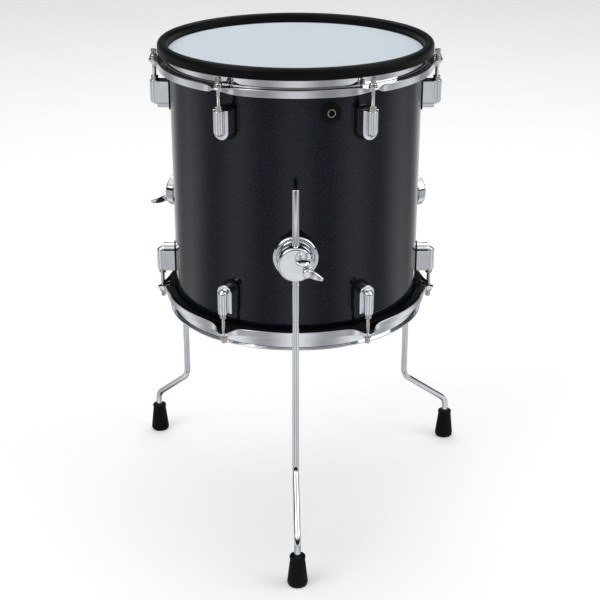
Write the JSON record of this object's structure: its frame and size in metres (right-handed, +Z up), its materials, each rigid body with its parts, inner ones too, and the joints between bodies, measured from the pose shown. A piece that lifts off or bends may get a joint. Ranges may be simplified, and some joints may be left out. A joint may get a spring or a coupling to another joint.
{
  "type": "electronic floor tom",
  "caption": "Electronic floor tom: a dark sparkle shell with a mesh head, rubber-covered steel hoop, chromed lugs and tension rods, clamped bent legs with rubber feet and a cable jack.",
  "frame": {"origin": "middle of the outline at floor level, under the feet's undersides", "axes": "+Z up along the drum axis; -Y toward the front leg; +X to the right as seen from the front leg"},
  "size_m": [0.511, 0.4968, 0.703],
  "materials": {
    "wood_shell": "raw birch inside",
    "sparkle_wrap": "black sparkle lacquer",
    "chrome": "polished chrome",
    "rod_steel": "polished chrome",
    "leg_chrome": "polished chrome tube",
    "cast_chrome": "chromed casting",
    "rim_rubber": "satin black",
    "foot_rubber": "matte black",
    "gasket": "matte black",
    "mesh": "woven white mesh",
    "film": "dark film",
    "flesh_metal": "black enamel",
    "plated_steel": "zinc plated",
    "nickel": "nickel plated",
    "black_plastic": "satin black",
    "nylon": "black nylon",
    "sensor_metal": "plain",
    "piezo": "plain",
    "foam": "open foam"
  },
  "bodies": {
    "drum": {"bottom_flesh_hoop": "flesh_metal", "bottom_head": "film", "bottom_hoop": "chrome", "bottom_lugs": "cast_chrome", "bracket_base_front": "cast_chrome", "bracket_base_left": "cast_chrome", "bracket_base_right": "cast_chrome", "bracket_pads": "gasket", "bracket_screws": "plated_steel", "bridge_screws": "plated_steel", "foam_cone": "foam", "head_sensor": "piezo", "hoop_rubber": "rim_rubber", "jack_nut": "nickel", "jack_plate": "black_plastic", "jack_socket": "black_plastic", "lug_gaskets": "gasket", "lug_screws": "plated_steel", "mesh_head": "mesh", "rim_sensor": "black_plastic", "rod_washers": "rod_steel", "sensor_bridge": "plated_steel", "sensor_plate": "sensor_metal", "sensor_wiring": "black_plastic", "shell": "wood_shell", "shell_wrap": "sparkle_wrap", "swivel_nuts": "rod_steel", "top_flesh_hoop": "flesh_metal", "top_hoop": "chrome", "top_lugs": "cast_chrome"},
    "top_rod_1": {"top_rod_1": "rod_steel"},
    "bottom_rod_1": {"bottom_rod_1": "rod_steel"},
    "top_rod_2": {"top_rod_2": "rod_steel"},
    "bottom_rod_2": {"bottom_rod_2": "rod_steel"},
    "top_rod_3": {"top_rod_3": "rod_steel"},
    "bottom_rod_3": {"bottom_rod_3": "rod_steel"},
    "top_rod_4": {"top_rod_4": "rod_steel"},
    "bottom_rod_4": {"bottom_rod_4": "rod_steel"},
    "top_rod_5": {"top_rod_5": "rod_steel"},
    "bottom_rod_5": {"bottom_rod_5": "rod_steel"},
    "top_rod_6": {"top_rod_6": "rod_steel"},
    "bottom_rod_6": {"bottom_rod_6": "rod_steel"},
    "sleeve_front": {"leg_sleeve_front": "nylon"},
    "leg_front": {"leg_front": "leg_chrome", "foot_front": "foot_rubber"},
    "cap_front": {"bracket_cap_front": "cast_chrome"},
    "wing_front": {"wing_bolt_front": "cast_chrome"},
    "sleeve_right": {"leg_sleeve_right": "nylon"},
    "leg_right": {"leg_right": "leg_chrome", "foot_right": "foot_rubber"},
    "cap_right": {"bracket_cap_right": "cast_chrome"},
    "wing_right": {"wing_bolt_right": "cast_chrome"},
    "sleeve_left": {"leg_sleeve_left": "nylon"},
    "leg_left": {"leg_left": "leg_chrome", "foot_left": "foot_rubber"},
    "cap_left": {"bracket_cap_left": "cast_chrome"},
    "wing_left": {"wing_bolt_left": "cast_chrome"}
  },
  "joints": [
    {"name": "top_rod_1_turn", "type": "hinge", "parent": "drum", "child": "top_rod_1", "pos_m": [0.18886, 0.05548, 0.66], "axis": [0, 0, 1], "continuous": true},
    {"name": "bottom_rod_1_turn", "type": "hinge", "parent": "drum", "child": "bottom_rod_1", "pos_m": [0.18886, 0.05548, 0.3432], "axis": [0, 0, 1], "continuous": true},
    {"name": "top_rod_2_turn", "type": "hinge", "parent": "drum", "child": "top_rod_2", "pos_m": [0.08961, 0.22739, 0.66], "axis": [0, 0, 1], "continuous": true},
    {"name": "bottom_rod_2_turn", "type": "hinge", "parent": "drum", "child": "bottom_rod_2", "pos_m": [0.08961, 0.22739, 0.3432], "axis": [0, 0, 1], "continuous": true},
    {"name": "top_rod_3_turn", "type": "hinge", "parent": "drum", "child": "top_rod_3", "pos_m": [-0.10889, 0.22739, 0.66], "axis": [0, 0, 1], "continuous": true},
    {"name": "bottom_rod_3_turn", "type": "hinge", "parent": "drum", "child": "bottom_rod_3", "pos_m": [-0.10889, 0.22739, 0.3432], "axis": [0, 0, 1], "continuous": true},
    {"name": "top_rod_4_turn", "type": "hinge", "parent": "drum", "child": "top_rod_4", "pos_m": [-0.20814, 0.05548, 0.66], "axis": [0, 0, 1], "continuous": true},
    {"name": "bottom_rod_4_turn", "type": "hinge", "parent": "drum", "child": "bottom_rod_4", "pos_m": [-0.20814, 0.05548, 0.3432], "axis": [0, 0, 1], "continuous": true},
    {"name": "top_rod_5_turn", "type": "hinge", "parent": "drum", "child": "top_rod_5", "pos_m": [-0.10889, -0.11643, 0.66], "axis": [0, 0, 1], "continuous": true},
    {"name": "bottom_rod_5_turn", "type": "hinge", "parent": "drum", "child": "bottom_rod_5", "pos_m": [-0.10889, -0.11643, 0.3432], "axis": [0, 0, 1], "continuous": true},
    {"name": "top_rod_6_turn", "type": "hinge", "parent": "drum", "child": "top_rod_6", "pos_m": [0.08961, -0.11643, 0.66], "axis": [0, 0, 1], "continuous": true},
    {"name": "bottom_rod_6_turn", "type": "hinge", "parent": "drum", "child": "bottom_rod_6", "pos_m": [0.08961, -0.11643, 0.3432], "axis": [0, 0, 1], "continuous": true},
    {"name": "leg_turn_front", "type": "hinge", "parent": "drum", "child": "sleeve_front", "pos_m": [-0.00964, -0.14752, 0.447], "axis": [0, 0, 1], "continuous": true},
    {"name": "leg_slide_front", "type": "slide", "parent": "sleeve_front", "child": "leg_front", "axis": [0, 0, 1], "range_m": [-0.06, 0.15]},
    {"name": "cap_slide_front", "type": "slide", "parent": "drum", "child": "cap_front", "axis": [0, -1, 0], "range_m": [0, 0.00187]},
    {"name": "wing_turn_front", "type": "hinge", "parent": "cap_front", "child": "wing_front", "pos_m": [0.00536, -0.16202, 0.438], "axis": [0, -1, 0], "range_deg": [0, 540]},
    {"name": "leg_turn_right", "type": "hinge", "parent": "drum", "child": "sleeve_right", "pos_m": [0.16616, 0.15698, 0.447], "axis": [0, 0, 1], "continuous": true},
    {"name": "leg_slide_right", "type": "slide", "parent": "sleeve_right", "child": "leg_right", "axis": [0, 0, 1], "range_m": [-0.06, 0.15]},
    {"name": "cap_slide_right", "type": "slide", "parent": "drum", "child": "cap_right", "axis": [0.866, 0.5, 0], "range_m": [0, 0.00187]},
    {"name": "wing_turn_right", "type": "hinge", "parent": "cap_right", "child": "wing_right", "pos_m": [0.17122, 0.17722, 0.438], "axis": [0.866, 0.5, 0], "range_deg": [0, 540]},
    {"name": "leg_turn_left", "type": "hinge", "parent": "drum", "child": "sleeve_left", "pos_m": [-0.18545, 0.15698, 0.447], "axis": [0, 0, 1], "continuous": true},
    {"name": "leg_slide_left", "type": "slide", "parent": "sleeve_left", "child": "leg_left", "axis": [0, 0, 1], "range_m": [-0.06, 0.15]},
    {"name": "cap_slide_left", "type": "slide", "parent": "drum", "child": "cap_left", "axis": [-0.866, 0.5, 0], "range_m": [0, 0.00187]},
    {"name": "wing_turn_left", "type": "hinge", "parent": "cap_left", "child": "wing_left", "pos_m": [-0.2055, 0.15124, 0.438], "axis": [-0.866, 0.5, 0], "range_deg": [0, 540]}
  ],
  "couplings": [
    {"joint": "wing_turn_front", "follows": "cap_slide_front", "rad_per_m": 5026.5},
    {"joint": "wing_turn_right", "follows": "cap_slide_right", "rad_per_m": 5026.5},
    {"joint": "wing_turn_left", "follows": "cap_slide_left", "rad_per_m": 5026.5}
  ]
}
